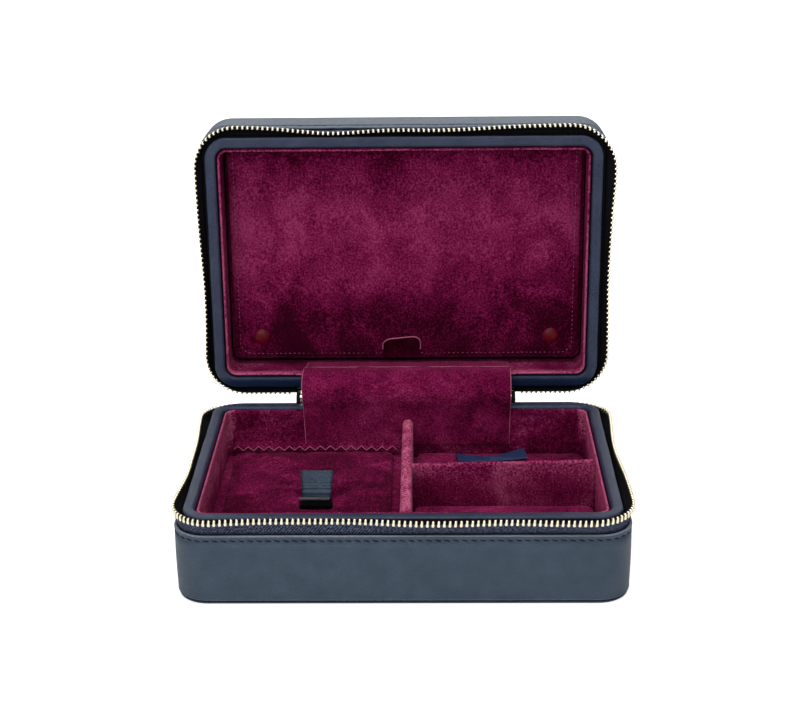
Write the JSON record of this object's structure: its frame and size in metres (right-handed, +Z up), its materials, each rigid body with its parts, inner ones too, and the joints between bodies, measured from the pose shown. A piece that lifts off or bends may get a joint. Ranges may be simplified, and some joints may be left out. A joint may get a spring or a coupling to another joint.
{
  "type": "jewellery case",
  "caption": "Zip-round leather jewellery case with velvet-lined compartments, lift-up panels and a hinged lid that holds a buttoned flap.",
  "frame": {"origin": "middle of the base's underside", "axes": "+Z up, front of the case towards -Y, hinge at the back, +X to the right seen from the front"},
  "size_m": [0.2196, 0.1932, 0.1927],
  "materials": {
    "navy_leather": "grained",
    "board": "matte",
    "velvet": "pile",
    "tape": "woven",
    "zip_metal": "polished",
    "stud_cap": "satin",
    "stud_metal": "satin"
  },
  "bodies": {
    "base": {"base_bottom_panel": "navy_leather", "base_carcass": "board", "base_leather_band": "navy_leather", "base_collar": "navy_leather", "base_wall_lining": "velvet", "base_floor_lining": "velvet", "base_zip_tape": "tape", "base_zip_teeth": "zip_metal", "base_zip_stops": "zip_metal", "centre_divider": "velvet", "cross_divider": "velvet", "front_right_pad": "velvet", "left_ledges": "board", "rear_ledges": "board", "left_hinge_strip": "velvet", "spine_leather": "navy_leather", "hinge_flap": "velvet"},
    "left_lift_panel": {"left_panel": "velvet", "left_pull_tab": "navy_leather"},
    "rear_lift_panel": {"rear_right_panel": "velvet", "rear_bow_pull": "navy_leather"},
    "lid": {"lid_top_panel": "navy_leather", "lid_carcass": "board", "lid_leather_band": "navy_leather", "lid_collar": "navy_leather", "lid_wall_lining": "velvet", "lid_back_lining": "velvet", "lid_zip_tape": "tape", "lid_zip_teeth": "zip_metal", "lid_zip_stops": "zip_metal", "stud_blocks": "velvet", "stud_posts": "stud_metal", "flap_hinge_strip": "velvet", "peg_strip": "navy_leather", "necklace_pegs": "stud_metal"},
    "flap": {"necklace_flap": "velvet", "stud_caps": "stud_cap", "stud_sockets": "stud_metal", "flap_pull_tab": "velvet"},
    "left_slider": {"slider_left": "zip_metal"},
    "right_slider": {"slider_right": "zip_metal"},
    "left_zip_pull": {"slider_pull_left": "zip_metal"},
    "right_zip_pull": {"slider_pull_right": "zip_metal"}
  },
  "joints": [
    {"name": "lid_hinge", "type": "hinge", "parent": "base", "child": "lid", "pos_m": [0, 0.0746, 0.0438], "axis": [-1, 0, 0], "range_deg": [-93, 0], "deforming": ["spine_leather", "hinge_flap"]},
    {"name": "flap_hinge", "type": "hinge", "parent": "lid", "child": "flap", "pos_m": [0, 0.10154, 0.17757], "axis": [-1, 0, 0], "range_deg": [0, 80]},
    {"name": "left_panel_hinge", "type": "hinge", "parent": "base", "child": "left_lift_panel", "pos_m": [-0.0493, 0.059, 0.0198], "axis": [-1, 0, 0], "range_deg": [0, 80]},
    {"name": "rear_panel_hinge", "type": "hinge", "parent": "base", "child": "rear_lift_panel", "pos_m": [0.0505, 0.059, 0.0184], "axis": [-1, 0, 0], "range_deg": [0, 55]},
    {"name": "left_slider_run", "type": "slide", "parent": "base", "child": "left_slider", "axis": [-1, 0, 0], "range_m": [0, 0.03]},
    {"name": "right_slider_run", "type": "slide", "parent": "base", "child": "right_slider", "axis": [1, 0, 0], "range_m": [0, 0.03]},
    {"name": "left_pull_swing", "type": "hinge", "parent": "left_slider", "child": "left_zip_pull", "pos_m": [-0.0528, 0.0747, 0.0429], "axis": [1, 0, 0], "range_deg": [0, 80]},
    {"name": "right_pull_swing", "type": "hinge", "parent": "right_slider", "child": "right_zip_pull", "pos_m": [0.0528, 0.0747, 0.0429], "axis": [1, 0, 0], "range_deg": [0, 80]}
  ]
}
